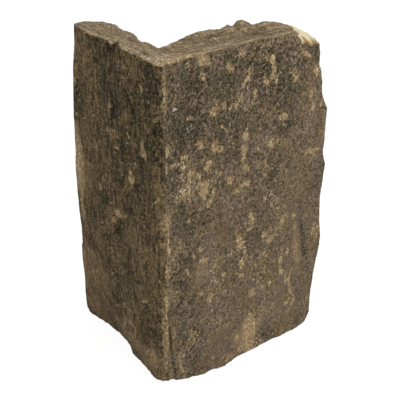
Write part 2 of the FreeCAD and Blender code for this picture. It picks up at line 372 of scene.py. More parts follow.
@dataclass(frozen=True)
class Ledge:
    """A broken line where the surface drops on one side and rises slowly back; dark is painted
    shade.
    """

    line_mm: tuple[Point2, ...]
    drop_mm: float
    lip_mm: float
    fade_mm: float
    dark: float = 0.0

    def distance(self, across: np.ndarray, up: np.ndarray) -> np.ndarray:
        """Measures each point from the line, positive to its right.

        Args:
            across: How far across the face each point lies.
            up: How far up the face each point lies.

        Returns:
            Signed distances in millimetres.
        """
        best = np.full(len(across), np.inf)
        signed = np.zeros(len(across))
        for (x0, z0), (x1, z1) in zip(self.line_mm, self.line_mm[1:]):
            run = math.hypot(x1 - x0, z1 - z0)
            ux, uz = (x1 - x0) / run, (z1 - z0) / run
            along = np.clip((across - x0) * ux + (up - z0) * uz, 0, run)
            dx = across - x0 - along * ux
            dz = up - z0 - along * uz
            away = np.hypot(dx, dz)
            side = np.sign(dx * uz - dz * ux)
            nearer = away < best
            best[nearer] = away[nearer]
            signed[nearer] = (away * side)[nearer]
        return signed

    def drop(self, across: np.ndarray, up: np.ndarray) -> np.ndarray:
        """Gives the depth of the hollow under the line, 0 to 1."""
        away = self.distance(across, up)
        return ease(away, 0, self.lip_mm) * np.exp(-np.maximum(away, 0) / self.fade_mm)


# Each mark has its place across and up its face, its width and its length, and then what it
# changes. A minus takes away.
LONG_MARKS = (
    # Grime over the upper half.
    Mark(30, 250, 76, 84, dark=0.7), Mark(90, 264, 70, 60, dark=0.6),
    # Dark spots.
    Mark(13, 232, 18, 26, dark=0.5), Mark(35, 262, 10, 12, dark=0.8),
    Mark(34, 232, 14, 14, dark=0.8), Mark(67, 284, 14, 8, dark=0.9),
    # Grime and shades, left and middle.
    Mark(12, 192, 22, 52, dark=0.7), Mark(34, 206, 7, 12, dark=0.9),
    Mark(62, 206, 14, 22, dark=0.5), Mark(24, 158, 34, 26, dark=0.45),
    Mark(40, 150, 13, 7, dark=0.7),
    # Shades on the right and under the rim.
    Mark(112, 179, 16, 34, dark=0.9), Mark(124, 214, 18, 9, dark=0.9),
    Mark(98, 276, 84, 20, dark=0.6), Mark(130, 208, 32, 34, dark=0.6),
    # Shades at the foot, at the heel and beside the arris.
    Mark(104, 22, 24, 38, dark=0.9), Mark(24, 36, 22, 50, dark=1.0), Mark(9, 92, 14, 56, dark=0.4),
    # Shades, upper right to lower left; the upper right one is painted shade, darker towards the
    # right.
    Mark(114, 252, 50, 50, dark=0.6), Mark(89, 160, 12, 20, dark=0.4),
    Mark(15, 106, 26, 60, dark=0.3), Mark(26, 73, 30, 24, dark=0.15),
    # Thread at the end, and the shades of the fern and the lace.
    Mark(150, 184, 2, 22, lean_deg=-80, tan=1.0), Mark(57, 45, 7, 10, dark=0.7),
    Mark(91, 88, 9, 22, dark=0.5),
    # Clean stone.
    Mark(138, 180, 52, 120, dark=-0.5), Mark(134, 95, 46, 90, dark=-0.7),
    Mark(92, 42, 130, 90, dark=-0.8), Mark(58, 140, 34, 56, dark=-0.6),
    Mark(34, 104, 24, 28, dark=-0.9, worn=0.45), Mark(36, 26, 60, 44, dark=-0.5),
    # Gold patch.
    Mark(124, 198, 22, 26, worn=0.35),
    # Flecks along the arris.
    Mark(3.5, 258, 7, 60, tan=0.15),
    # Scratch.
    Mark(139, 270, 1.8, 20, lean_deg=-43, tan=1.8, pale=0.1),
    # Streaks along the arris, from the top down.
    Mark(2.5, 275, 5, 24, tan=0.8, pale=0.15), Mark(1.2, 257, 2.6, 22, tan=0.65),
    Mark(4, 224, 6, 9, tan=0.9), Mark(2.5, 207, 2, 16, lean_deg=-12, tan=1.0),
    Mark(2, 164, 9, 22, tan=0.5, worn=0.6), Mark(2, 146, 4, 16, tan=0.9),
    Mark(3.5, 136, 5, 8, tan=1.1), Mark(1, 116, 3, 20, tan=0.8),
    Mark(0, 88, 7, 12, tan=0.6, worn=0.6), Mark(-0.5, 62, 2.2, 62, tan=1.2),
    # Low streaks and the heel.
    Mark(8, 58, 7, 50, tan=0.3, worn=0.3), Mark(13, 19, 3.2, 24, lean_deg=-6, tan=0.6, worn=0.3),
    Mark(16, 27, 6, 8, pale=0.4),
    # White fleck.
    Mark(11, 253, 4.6, 2.2, pale=1.1),
    # Yellow spot and crown.
    Mark(24, 285, 5, 5, tan=0.8), Mark(38, 286, 10, 9, tan=0.7, worn=0.5),
    Mark(38, 274, 6, 8, tan=0.8),
    # Horn.
    Mark(62, 277, 5, 9, lean_deg=-25, tan=0.8), Mark(65, 273, 6, 7, tan=0.7),
    # High knot and fleck.
    Mark(74, 284, 10, 9, tan=0.5, worn=0.4), Mark(83, 269, 6, 5, tan=0.8),
    # Bow.
    Mark(78, 262, 12, 3, lean_deg=-40, tan=0.7), Mark(80, 255, 4, 6, tan=0.7),
    # Upper streak.
    Mark(103, 274, 6, 8, tan=1.0), Mark(105, 266, 4, 16, lean_deg=-12, tan=1.2),
    # Upper pair, and what lies below it and beside it.
    Mark(99, 256, 4, 9, lean_deg=-15, tan=1.0), Mark(103, 258, 4, 7, tan=0.9),
    Mark(108, 256, 3, 9, tan=1.0), Mark(89, 248, 6, 10, tan=0.9), Mark(86, 241, 5, 4, tan=0.7),
    Mark(128, 253, 12, 6, tan=0.6), Mark(124, 258, 10, 5, tan=0.6),
    # Ring.
    Mark(46, 244, 8, 7, tan=1.0), Mark(57, 247, 6, 5, tan=0.9), Mark(64, 243, 3, 5, tan=0.9),
    Mark(69, 243, 2, 8, tan=0.9),
    # Grey specks and a long thread.
    Mark(26, 235, 12, 6, pale=0.42), Mark(26, 243, 1.6, 18, lean_deg=-70, tan=0.8),
    # Middle spots.
    Mark(55, 229, 6, 3, tan=0.9), Mark(59, 226, 3, 4, tan=1.0),
    # End: rust and spots.
    Mark(152, 253, 4, 12, lean_deg=-25, tan=0.8, worn=0.1), Mark(146, 235, 3.4, 7, tan=1.7),
    Mark(148, 224.5, 3, 7, tan=1.5), Mark(159, 224, 4, 6, tan=0.8),
    # Small dots.
    Mark(118, 215, 3.5, 3, tan=1.0), Mark(118, 222, 10, 10, tan=0.5),
    # Knot.
    Mark(36, 218, 6, 9, tan=1.2),
    # Shoulder patch.
    Mark(47, 214, 7, 9, tan=1.1), Mark(53, 210, 8, 5, tan=1.1), Mark(42, 201, 5, 8, tan=0.8),
    # Trail.
    Mark(77, 216, 9, 8, tan=1.0), Mark(76, 204, 6, 7, tan=1.3), Mark(75, 197, 6, 6, tan=0.8),
    Mark(79, 187, 4, 9, lean_deg=-40, tan=1.1),
    # Lace beside the arris.
    Mark(18, 211, 7, 4, tan=0.8, pale=0.25), Mark(11, 209, 9, 2.6, tan=0.7, pale=0.25),
    Mark(16, 203, 2.5, 12, tan=0.8, pale=0.2), Mark(18, 204, 22, 20, tan=0.25, pale=0.12),
    Mark(25, 196, 11, 4, tan=1.1), Mark(24, 191, 4, 5, tan=0.8),
    # Pearls.
    Mark(8, 197, 4, 3, pale=0.6), Mark(16, 184, 14, 14, pale=0.36, tan=0.2),
    # Slant trail.
    Mark(35, 193, 6, 7, tan=0.9), Mark(42, 197, 5, 8, tan=0.7),
    Mark(39, 182, 8, 9, tan=0.8, worn=0.2), Mark(39, 175, 4, 10, tan=1.0),
    Mark(46, 173, 4, 9, tan=0.9), Mark(43, 165, 7, 6, tan=0.7),
    # Thread by the arris.
    Mark(22, 179, 3, 12, tan=0.9),
    # Middle flecks.
    Mark(105, 201, 8, 7, tan=1.0), Mark(104, 196, 3, 6, tan=0.9),
    Mark(112, 202, 5, 2.5, lean_deg=60, tan=0.9),
    # Middle stem.
    Mark(92, 187, 3, 12, tan=0.7), Mark(92, 201, 4, 4, tan=0.8),
    # Middle patch.
    Mark(64, 180, 7, 8, tan=0.9), Mark(78, 173, 11, 5, tan=1.2), Mark(71, 169, 7, 5, tan=0.9),
    # White dash.
    Mark(147, 182, 2.4, 13, lean_deg=-65, tan=1.4, pale=0.2), Mark(145, 165, 7, 2.5, pale=0.5),
    # Pin spot.
    Mark(21, 156, 3.5, 5, tan=1.3),
    # Twin spots.
    Mark(99, 153, 3.5, 9, tan=0.9), Mark(106, 154, 4, 6, tan=1.3), Mark(110, 166, 6, 4, tan=0.7),
    # Hook.
    Mark(33, 126, 4, 8, tan=1.3), Mark(25, 124, 4, 7, lean_deg=-20, tan=1.2),
    Mark(37, 116, 9, 5, tan=1.2), Mark(20, 108, 3, 14, lean_deg=-25, tan=1.0),
    # Drop.
    Mark(86, 138, 6, 12, lean_deg=-20, tan=0.8, worn=0.3), Mark(84, 130, 8, 4, tan=0.6),
    # Bright heart and the leaf beside it.
    Mark(75, 117, 8, 10, tan=1.3), Mark(73, 123, 6, 6, tan=1.0), Mark(79, 110, 4, 6, tan=1.1),
    Mark(75, 99, 6, 14, tan=0.6), Mark(66, 111, 7, 5, tan=0.7),
    # Right eye.
    Mark(133, 126, 6, 6, tan=1.2), Mark(120, 125, 4, 7, tan=0.9),
    Mark(135, 113, 3.5, 6, tan=0.5, pale=0.35),
    # Lace.
    Mark(98, 118, 6, 9, lean_deg=-15, tan=1.0), Mark(107, 120, 4, 5, tan=0.9),
    Mark(104, 111, 12, 2.5, tan=1.0), Mark(99, 100, 12, 12, tan=0.55),
    # Groove: its hollow, darkened with painted shade, and its bank, lace and foot.
    Mark(146, 94, 3.8, 66, lean_deg=-8.5, dark=1.5, sunk_mm=1.4),
    Mark(138, 92, 9, 60, lean_deg=-8.5, worn=0.6, sunk_mm=-0.5), Mark(157, 103, 14, 18, tan=0.5),
    Mark(151, 70, 3, 16, pale=0.35),
    # Bright dot.
    Mark(57, 95, 5, 4.5, tan=1.3), Mark(57, 90, 3, 9, tan=0.7),
    # Low spots.
    Mark(34, 84, 4, 7, lean_deg=-20, tan=1.1), Mark(42, 76, 5, 8, tan=0.7, pale=0.2),
    Mark(58, 76, 5, 5, tan=0.6), Mark(76, 86, 7, 4, tan=0.8),
    # Thread.
    Mark(119, 86, 3, 10, tan=1.4, pale=0.2), Mark(119, 75, 4, 9, lean_deg=-15, tan=1.1, pale=0.2),
    Mark(126, 92, 4, 6, lean_deg=25, tan=1.1), Mark(120, 97, 3, 5, tan=0.8),
    # Curl.
    Mark(124, 67, 2.2, 9, tan=1.5), Mark(127, 63, 7, 2.4, tan=1.5),
    Mark(132, 69, 2.6, 10, lean_deg=20, tan=1.4), Mark(129, 57, 2.4, 13, lean_deg=-12, tan=1.5),
    Mark(134, 46, 2.6, 10, lean_deg=-50, tan=1.5), Mark(137, 37, 3, 11, tan=1.4),
    Mark(125, 38, 6, 3, tan=1.0),
    # Low bar.
    Mark(106, 68, 6, 4, tan=1.3), Mark(88, 64, 7, 9, tan=0.9), Mark(97, 67, 7, 4, tan=1.1),
    # Foot patch, and the fleck and the spot beside it.
    Mark(84, 23, 12, 38, tan=1.0, worn=1.1), Mark(78, 20, 30, 30, tan=0.2, worn=0.55),
    Mark(70, 24, 4, 7, tan=0.9), Mark(61, 8, 9, 7, worn=0.8, pale=0.2),
    Mark(44, 15, 3.5, 4, tan=0.9),
    # Fern.
    Mark(61, 42, 2.5, 9, lean_deg=15, tan=0.8), Mark(63, 47, 4, 4, tan=0.7),
    Mark(49, 43, 8, 5, pale=0.35),
    # Heel groove, darkened with painted shade.
    Mark(5, 38, 3, 80, lean_deg=-7, dark=2.0, sunk_mm=1.2),
)

RETURN_MARKS = (
    # Olive grime above, and shades round the scar; the two in the drop under it are painted shade.
    Mark(34, 250, 80, 90, dark=0.4), Mark(27, 203, 15, 16, dark=0.8),
    Mark(19, 186, 28, 60, dark=0.6), Mark(14, 262, 30, 60, dark=0.8),
    # Lee of the spots and of the arris: painted shade.
    Mark(37, 181, 7, 12, dark=1.4), Mark(7, 221, 10, 16, dark=1.0),
    # Gouge, darkened in its cut: partly its own colour, partly painted shade.
    Mark(9.5, 234, 3.8, 20, lean_deg=-37, dark=1.8, sunk_mm=0.5),
    # Warm band by the arris.
    Mark(2.5, 180, 8, 84, dark=-0.9),
    # Olive foot.
    Mark(23, 49, 34, 40, dark=0.7), Mark(107, 40, 16, 30, dark=0.5), Mark(92, 28, 18, 12, dark=0.5),
    # Clean stone at the foot.
    Mark(107, 66, 50, 40, dark=-1.2, worn=0.4), Mark(52, 26, 60, 28, dark=-1.1, worn=0.45),
    Mark(14, 15, 40, 32, dark=-1.3, worn=0.35),
    # More clean stone, from the flake up to the rim.
    Mark(22, 110, 46, 60, dark=-0.3), Mark(52, 52, 24, 20, dark=-1.4),
    Mark(124, 12, 26, 24, dark=-1.0, worn=0.4), Mark(24, 276, 26, 26, dark=-1.1),
    Mark(47, 236, 16, 26, dark=-0.7),
    # Shades under the furrow and over the step.
    Mark(74, 210, 18, 18, dark=0.7), Mark(58, 175, 22, 22, dark=0.5),
    # Clean stone towards the end.
    Mark(110, 262, 20, 50, dark=-0.6), Mark(112, 180, 30, 80, dark=-0.6),
    # Arris.
    Mark(2, 88, 5, 150, tan=0.15, worn=0.3), Mark(2, 50, 3.4, 62, tan=0.4, worn=0.7),
    # Scar spots.
    Mark(23, 216, 7, 13, tan=1.3, worn=1.3), Mark(23, 222, 7, 6, worn=0.7),
    Mark(35, 198, 4, 8, lean_deg=-30, tan=0.6, worn=0.3), Mark(42, 186, 7, 10, tan=1.2, worn=1.3),
    Mark(44, 175, 4, 6, lean_deg=-30, tan=0.7),
    # Upper dash, dots, threads and wisp.
    Mark(23, 265, 4, 9, tan=1.0, worn=0.4), Mark(13, 258.5, 4, 2, tan=1.2),
    Mark(5, 253, 3, 2.4, tan=0.8), Mark(5, 247, 3, 2.2, tan=0.8), Mark(27, 275, 2, 7, tan=0.8),
    Mark(52, 274, 2.5, 14, tan=0.8), Mark(43, 279, 10, 8, tan=0.4),
    # Crack, with painted shadow in it.
    Mark(50, 284, 3, 14, dark=1.8, sunk_mm=1.0),
    # Furrow, with painted shade in it.
    Mark(82, 286, 9, 5, dark=1.6), Mark(85, 270, 10, 26, dark=0.9, sunk_mm=0.3),
    # Dark streaks, cut in and darkened, partly their own colour and partly painted shade; and a
    # thread.
    Mark(64, 248, 3.4, 16, dark=2.4, sunk_mm=0.7), Mark(62, 236, 6, 20, dark=2.2, sunk_mm=0.9),
    Mark(66, 227, 4.5, 12, dark=2.0, sunk_mm=0.7), Mark(57, 236, 2.4, 18, dark=1.3, sunk_mm=0.4),
    Mark(69, 238, 2, 16, tan=0.8, worn=0.2), Mark(51, 206, 5, 20, dark=2.1, sunk_mm=0.6),
    Mark(76, 226, 2.4, 26, dark=1.2, sunk_mm=0.4), Mark(33, 247, 2.4, 30, dark=1.0, sunk_mm=0.3),
    Mark(80, 152, 5, 14, dark=2.0, sunk_mm=0.6),
    # Pale patch, and a dash under it.
    Mark(44, 236, 9, 12, worn=0.4), Mark(43, 223, 2, 8, tan=0.8),
    # Middle dots.
    Mark(60, 204, 6, 3.5, tan=1.1), Mark(72, 216, 4, 5, tan=1.1),
    # Thread by the arris.
    Mark(6, 179, 2, 17, lean_deg=-24, tan=0.6),
    # Step.
    Mark(57, 144, 3.4, 15, lean_deg=-65, tan=0.5, worn=0.8), Mark(64, 143, 8, 7, tan=0.9, worn=0.7),
    Mark(71, 134, 4, 9, lean_deg=-45, tan=0.4, worn=0.9), Mark(81, 127, 12, 8, worn=0.5),
    # Hollow under the step, with painted shadow in it.
    Mark(68, 126, 8, 15, lean_deg=-35, dark=2.1, sunk_mm=1.4),
    Mark(62, 118, 12, 20, dark=0.9, sunk_mm=0.6),
    # Pale spot.
    Mark(90, 158, 8, 5, tan=1.0, worn=0.5), Mark(86, 165, 3, 9, tan=0.6),
    # Low dash.
    Mark(26, 77, 3.4, 13, lean_deg=-60, tan=0.9),
    # Grey spot and dash.
    Mark(78, 77, 5, 4, pale=0.5), Mark(82, 73, 3, 10, lean_deg=-60, pale=0.42),
    # Edge of the flake.
    Mark(47, 41, 3.4, 12, lean_deg=68, tan=0.5, worn=0.6),
    Mark(49, 54, 3, 13, lean_deg=-25, pale=0.42, worn=0.4),
    Mark(63, 52, 4, 13, lean_deg=-25, pale=0.42, worn=0.4), Mark(60, 36, 3, 10, tan=0.9),
    # Foot patch.
    Mark(17, 24, 9, 18, tan=0.3, worn=0.8), Mark(26, 25, 6, 8, worn=0.35),
    # End.
    Mark(119, 272, 10, 24, worn=0.35), Mark(121, 255, 5, 6, tan=0.9), Mark(124, 243, 4, 9, tan=0.8),
    Mark(119, 238, 5, 14, dark=1.5), Mark(123, 213, 2.6, 10, lean_deg=-60, pale=0.4),
    # Strip at the end: light on the rounded end, partly worn colour and partly painted light.
    Mark(127, 168, 13, 62, tan=1.3, pale=0.42, dark=-1.6, worn=2.4),
    Mark(114, 160, 14, 50, dark=-0.6, worn=0.2), Mark(127, 118, 6, 24, tan=0.6, worn=1.0),
    Mark(124, 78, 4, 7, tan=0.8, worn=0.4), Mark(130, 60, 5, 90, worn=0.5),
)

TOP_MARKS = (
    # Light fleck.
    Mark(66, 24, 3, 7, pale=0.7),
    # Hollow in the crown, with painted shade in it.
    Mark(104, 20, 16, 24, dark=0.5, sunk_mm=1.2),
    # Shades on the inner side.
    Mark(14, 62, 9, 20, dark=0.3, sunk_mm=0.4), Mark(60, 30, 50, 12, dark=0.3),
    # Outer corner.
    Mark(14, 3, 46, 9, tan=1.1, worn=0.3), Mark(10, 14, 30, 24, pale=0.38, worn=0.7),
    # Beds.
    Mark(2, 50, 5, 70, pale=0.32), Mark(44, 12, 24, 4, tan=0.6),
    # Cream lump.
    Mark(141, 14, 18, 28, sunk_mm=-1.0),
)

MARKS = {Face.LONG: LONG_MARKS, Face.RETURN: RETURN_MARKS, Face.TOP: TOP_MARKS}

LEDGES = {
    Face.RETURN: (
        # The scar, with painted shade in the drop under it, and the edge of the flake at the foot.
        Ledge(((2, 243), (12, 229), (27, 209), (39, 188), (46, 173)),
              drop_mm=1.3, lip_mm=2.5, fade_mm=12, dark=0.35),
        Ledge(((137, 76), (118, 71), (94, 60), (72, 48), (45, 39), (21, 23)),
              drop_mm=1.2, lip_mm=3.0, fade_mm=30),
    ),
    Face.LONG: (
        # The scratch under the rim, and the two cracks at the end.
        Ledge(((133, 275), (147, 259)), drop_mm=0.8, lip_mm=0.8, fade_mm=4),
        Ledge(((139, 187), (148, 183), (163, 181)), drop_mm=0.8, lip_mm=1.0, fade_mm=8),
        Ledge(((137, 171), (150, 167), (158, 158)), drop_mm=0.6, lip_mm=1.0, fade_mm=8),
    ),
}

# The noises that colour the stone and roughen it below the size of the mesh. Each has its size
# along x, y and z, its detail, its roughness and its seed.
GRAINS = {
    "clouds": Grain(24, 24, 34, 3, 0.55, 11),
    "tint": Grain(17, 17, 24, 3, 0.6, 61),
    "mottle": Grain(5, 5, 7, 4, 0.65, 3),
    "grit": Grain(1.5, 2.4, 2.2, 2, 0.6, 19),
    "pits": Grain(1.9, 2.8, 2.8, 2, 0.6, 21),
    "fine": Grain(1.2, 1.2, 1.5, 2, 0.6, 53),
    "streaks": Grain(3.0, 3.0, 12, 3, 0.65, 17),
    "veins": Grain(5.5, 5.5, 9, 4, 0.65, 37),
    "knots": Grain(2.5, 2.5, 4.0, 3, 0.6, 29),
    "clusters": Grain(22, 22, 28, 2, 0.5, 31),
    "dashes": Grain(2.2, 2.2, 7, 3, 0.6, 43),
}


class Sources:
    """What the finish reads, by name: the place, the noises and the stone's own attributes."""

    def __init__(self, graph: Graph) -> None:
        """Starts without a wire."""
        self.graph = graph
        self.wires: dict[str, Wire] = {}

    def __setitem__(self, name: str, wire: Wire) -> None:
        """Keeps a wire by its name."""
        self.wires[name] = wire

    def __getitem__(self, name: str) -> Wire:
        """Gives a wire, and first reads the attribute of that name where there is none.

        Args:
            name: The name of the place, a noise or an attribute.

        Returns:
            The wire.
        """
        if name not in self.wires:
            settings = {"attribute_name": name}
            self[name] = self.graph.node("ShaderNodeAttribute", settings, output="Fac")
        return self.wires[name]

    def total(self, **shares: float) -> Wire:
        """Adds up the named wires, each times its share.

        Args:
            shares: How much of each wire counts.

        Returns:
            The sum.
        """
        parts = [self[name] * share for name, share in shares.items()]
        return sum(parts[1:], parts[0])


@dataclass(frozen=True)
class RivenFinish:
    """The stone's finish: split brown sandstone with tan patches and a cream broken corner.

    A field that ends in _band holds where something starts to show and where it shows in full.
    One that ends in _share says how much of it shows then.
    """

    # Near-black: partly the stone's own black streaks, partly painted shade in cracks, grooves and
    # hollows.
    black_stain_and_shade: Colour = srgb(24, 20, 12)
    # Olive grime, which also carries the painted shade of the dark marks in cracks, grooves and
    # hollows.
    grime_and_shade: Colour = srgb(73, 66, 49)
    olive: Colour = srgb(73, 63, 40)
    gold: Colour = srgb(116, 98, 74)
    lilac: Colour = srgb(116, 100, 83)
    umber: Colour = srgb(114, 95, 66)
    # Worn stone, and painted light on the rounded end of the return.
    worn: Colour = srgb(148, 124, 94)
    pale: Colour = srgb(196, 184, 162)
    cream: Colour = srgb(207, 194, 166)
    honey: Colour = srgb(196, 172, 124)
    ochre: Colour = srgb(148, 120, 76)
    tans: Ramp = (
        (0.15, srgb(124, 102, 70)), (0.5, srgb(156, 131, 95)), (0.9, srgb(208, 185, 147)))
    bedding: Ramp = (
        (0.1, srgb(72, 61, 45)), (0.5, srgb(117, 100, 75)), (1.0, srgb(182, 163, 132)))
    sawn: Ramp = ((0.2, srgb(100, 88, 70)), (0.8, srgb(134, 122, 104)))
    beds: Grain = Grain(3.0, 26, 2.0, 4, 0.6, 71)
    sand_mm: Point3 = (1.4, 2.2, 1.5)
    specular: float = 0.2
    roughness: float = 0.9
    roughness_drift: float = 0.3
    broken_band: Band = (0.35, 0.65)
    lilac_band: Band = (-0.06, 0.08)
    grime_and_shade_band: Band = (-0.1, 0.5)
    black_stain_and_shade_band: Band = (1.2, 2.4)
    black_stain_and_shade_share: float = 0.85
    coarse_band: Band = (-1.0, 1.0)
    pit_band: Band = (0.05, 0.12)
    pit_share: float = 0.4
    crack_band: Band = (0.05, 0.11)
    crack_share: float = 0.4
    vein_band: Band = (0.04, 0.0)
    vein_share: float = 0.3
    tone: float = 0.96
    coarse_tone: float = 0.08
    least_tone: float = 0.25
    least_wear_and_light_tone: float = 0.3
    wear_and_light_band: Band = (0.1, 0.9)
    pale_band: Band = (0.3, 0.6)
    patch_share: float = 0.85
    cluster_band: Band = (0.0, 0.14)
    cluster_width: float = 0.05
    lace_width: float = -0.02
    lace_band: Band = (0.0, 0.02)
    fleck_size: float = 0.03
    fleck_band: Band = (0.11, 0.16)
    fleck_share: float = 0.6
    edge_band: Band = (0.55, 0.8)
    edge_share: float = 0.8
    tan_share: float = 0.9
    honey_band: Band = (0.0, 0.16)
    honey_share: float = 0.7
    ochre_band: Band = (0.1, 1.1)
    chip_grit: float = 0.8
    streak_mm: float = 2.2
    sawn_smoothness: float = 0.85
    chip_smoothness: float = 0.6

    def material(self) -> bpy.types.Material:
        """Builds the finish.

        Returns:
            The material, which reads Object coordinates and the stone's own attributes.
        """
        made = bpy.data.materials.new("riven_stone_finish")
        made.use_nodes = True
        graph = Graph(made.node_tree)
        place = graph.node("ShaderNodeTexCoord", output="Object") * (1 / MM)
        source = Sources(graph)
        source["place"] = place
        source["sand"] = self._sand(graph, place)
        for name, grain in GRAINS.items():
            source[name] = grain.noise(graph, place)
        height = {"Strength": 1.0, "Distance": MM, "Height": self._height(source)}
        shader = graph.node("ShaderNodeBsdfPrincipled", inputs={
            "Base Color": self._colour(source),
            "Roughness": source["mottle"] * self.roughness_drift + self.roughness,
            "Normal": graph.node("ShaderNodeBump", inputs=height),
            "Specular IOR Level": self.specular,
        })
        graph.node("ShaderNodeOutputMaterial", inputs={"Surface": shader})
        return made

    def _sand(self, graph: Graph, place: Wire) -> Wire:
        """Gives each grain of sand a tone of its own, either side of 0.

        Args:
            graph: The material's graph.
            place: Object coordinates in millimetres.

        Returns:
            The tone.
        """
        spread = tuple(1 / size for size in self.sand_mm)
        inputs = {"Vector": place * spread, "Scale": 1.0}
        cells = graph.node("ShaderNodeTexVoronoi", {"feature": "F1"}, inputs, output="Color")
        return graph.node("ShaderNodeSeparateColor", inputs={0: cells}) - MIDDLE

    def _colour(self, source: Sources) -> Wire:
        """Builds the stone's colour, from the riven faces to the chip.

        Args:
            source: The place, the noises and the attributes.

        Returns:
            The colour.
        """
        graph = source.graph
        broken = graph.ease(source.total(broken=1.0, grit=0.5, mottle=0.4), *self.broken_band)
        stone = graph.blend(broken, self._riven(source), self._bed(source))
        stone = self._patches(source, stone)
        saw = graph.ramp(source.total(mottle=1.0, sand=0.3, clouds=1.0), self.sawn)
        stone = graph.blend(source["sawn"], stone, saw)
        return self._chip(source, stone)

    def _riven(self, source: Sources) -> Wire:
        """Colours the riven faces: clean stone, olive grime over it and near-black in the darkest
        marks.

        The grime and the near-black also paint shade where the dark marks lie in cracks and
        hollows.

        Args:
            source: The place, the noises and the attributes.

        Returns:
            The colour.
        """
        graph, on_return = source.graph, source["return_face"]
        clean = graph.blend(graph.ease(source["tint"], *self.lilac_band), self.gold, self.lilac)
        clean = graph.blend(on_return, clean, self.umber)
        grime_and_shade = graph.blend(on_return, self.grime_and_shade, self.olive)
        # The grime's share, from the dark marks and the noises; in cracks, grooves and hollows it
        # is painted shade.
        grime_and_shade_level = source.total(dark=0.36, clouds=1.6, mottle=1.7, grit=2.0, return_face=0.14)
        stone = graph.blend(graph.ease(grime_and_shade_level, *self.grime_and_shade_band), clean, grime_and_shade)
        stone = stone * self._tone(source).larger(self.least_tone)
        # Near-black where the dark marks are strongest: partly stain, partly painted shade in the
        # recesses.
        black_stain_and_shade = graph.ease(source.total(dark=1.0, mottle=1.5), *self.black_stain_and_shade_band)
        return graph.blend(black_stain_and_shade * self.black_stain_and_shade_share, stone, self.black_stain_and_shade)

    def _tone(self, source: Sources) -> Wire:
        """Says how light the riven stone is: grain, pits, veins, cracks, and painted shade in
        hollows.

        Args:
            source: The place, the noises and the attributes.

        Returns:
            It swings more under the dark marks, which are grime in places and painted shade in
            others.
        """
        graph = source.graph
        pits = graph.ease(source.total(pits=1.0, dark=0.03), *self.pit_band)
        cracks = graph.ease(source.total(streaks=1.0, clouds=0.4, dark=0.03), *self.crack_band)
        veins = graph.ease(source["veins"].size(), *self.vein_band)
        coarse = graph.ease(source["dark"], *self.coarse_band)
        # Cavity and hollow darken the hollows and lighten the ridges: painted shade and painted
        # light.
        even = source.total(grit=1.3, mottle=1.0, sand=0.4, cavity=-0.06, hollow=-0.06)
        rough = coarse * (source.total(grit=2.6, sand=1.25) + self.coarse_tone)
        # Streaks darken the return's bump grooves: partly their own colour, partly painted shade.
        upright = source.total(sand=0.15, streaks=-3.0) - cracks * self.crack_share
        tone = even + rough + upright * source["return_face"] + self.tone
        return tone - pits * self.pit_share - veins * self.vein_share

    def _bed(self, source: Sources) -> Wire:
        """Colours the broken top and ends, with thin beds that run along each leg.

        Args:
            source: The place, the noises and the attributes.

        Returns:
            The colour.
        """
        graph, leg = source.graph, source["long_leg"]
        x, y, z = (graph.axis(source["place"], name) for name in "XYZ")
        turned = {"X": x + (y - x) * leg, "Y": y + (x - y) * leg, "Z": z}
        place = graph.node("ShaderNodeCombineXYZ", inputs=turned)
        source["beds"] = self.beds.noise(graph, place)
        light = source.total(beds=1.3, grit=1.0, sand=0.35, mottle=0.35)
        # Darker under dark marks; cavity and hollow add painted shade in hollows and light on
        # ridges.
        deep = source.total(dark=0.3, cavity=0.1, hollow=0.14)
        return graph.ramp(light - deep, self.bedding)

    def _patches(self, source: Sources, stone: Wire) -> Wire:
        """Lays the worn, tan and pale patches, and painted light on the rounded end, over the
        stone.

        Args:
            source: The place, the noises and the attributes.
            stone: The colour below the patches.

        Returns:
            The colour with the patches.
        """
        graph = source.graph
        # The worn share; on the rounded end of the return it is painted light.
        worn = graph.ease(source.total(worn=1.0, tan=0.35, mottle=0.7, grit=0.5), *self.wear_and_light_band)
        tone = (source.total(grit=1.1, sand=0.25) + 1.0).larger(self.least_wear_and_light_tone)
        rubbed_and_lit = Wire.constant(graph, self.worn) * tone
        stone = graph.blend(worn * self.patch_share, stone, rubbed_and_lit)
        tint = graph.ramp(source.total(sand=0.5, grit=1.6), self.tans)
        stone = graph.blend(self._tan(source), stone, tint)
        pale = graph.ease(source.total(pale=1.0, grit=1.1, sand=0.15), *self.pale_band)
        return graph.blend(pale * self.patch_share, stone, self.pale)

    def _tan(self, source: Sources) -> Wire:
        """Says where the tan shows: in the marks, in scattered lace, on the rim and on the arris.

        Args:
            source: The place, the noises and the attributes.

        Returns:
            The tan's share, 0 to 1.
        """
        graph = source.graph
        clusters = graph.ease(source["clusters"], *self.cluster_band) * source["long_face"]
        width = source.total(tan=0.15, grit=0.1) + clusters * self.cluster_width + self.lace_width
        lace = graph.ease(width - source["knots"].size(), *self.lace_band)
        flecks = graph.ease(clusters * self.fleck_size - source["pits"], *self.fleck_band)
        edge = graph.ease(source.total(arris=0.38, rim=0.5, dashes=2.4), *self.edge_band)
        spread = lace.larger(flecks * self.fleck_share).larger(edge * self.edge_share)
        return spread * self.tan_share

    def _chip(self, source: Sources, stone: Wire) -> Wire:
        """Lays the cream broken corner and its ochre rim over the stone.

        Args:
            source: The place, the noises and the attributes.
            stone: The colour below the chip.

        Returns:
            The colour with the chip.
        """
        graph = source.graph
        veins = graph.ease(source.total(tint=1.0, mottle=0.8), *self.honey_band)
        fresh = graph.blend(veins * self.honey_share, self.cream, self.honey)
        burnt = graph.ease(source.total(chip_rim=1.0, mottle=1.6), *self.ochre_band)
        fresh = graph.blend(burnt, fresh, self.ochre) * (source["grit"] * self.chip_grit + 1.0)
        chipped = graph.ease(source.total(chip=1.0, mottle=0.8), *self.broken_band)
        return graph.blend(chipped, stone, fresh)

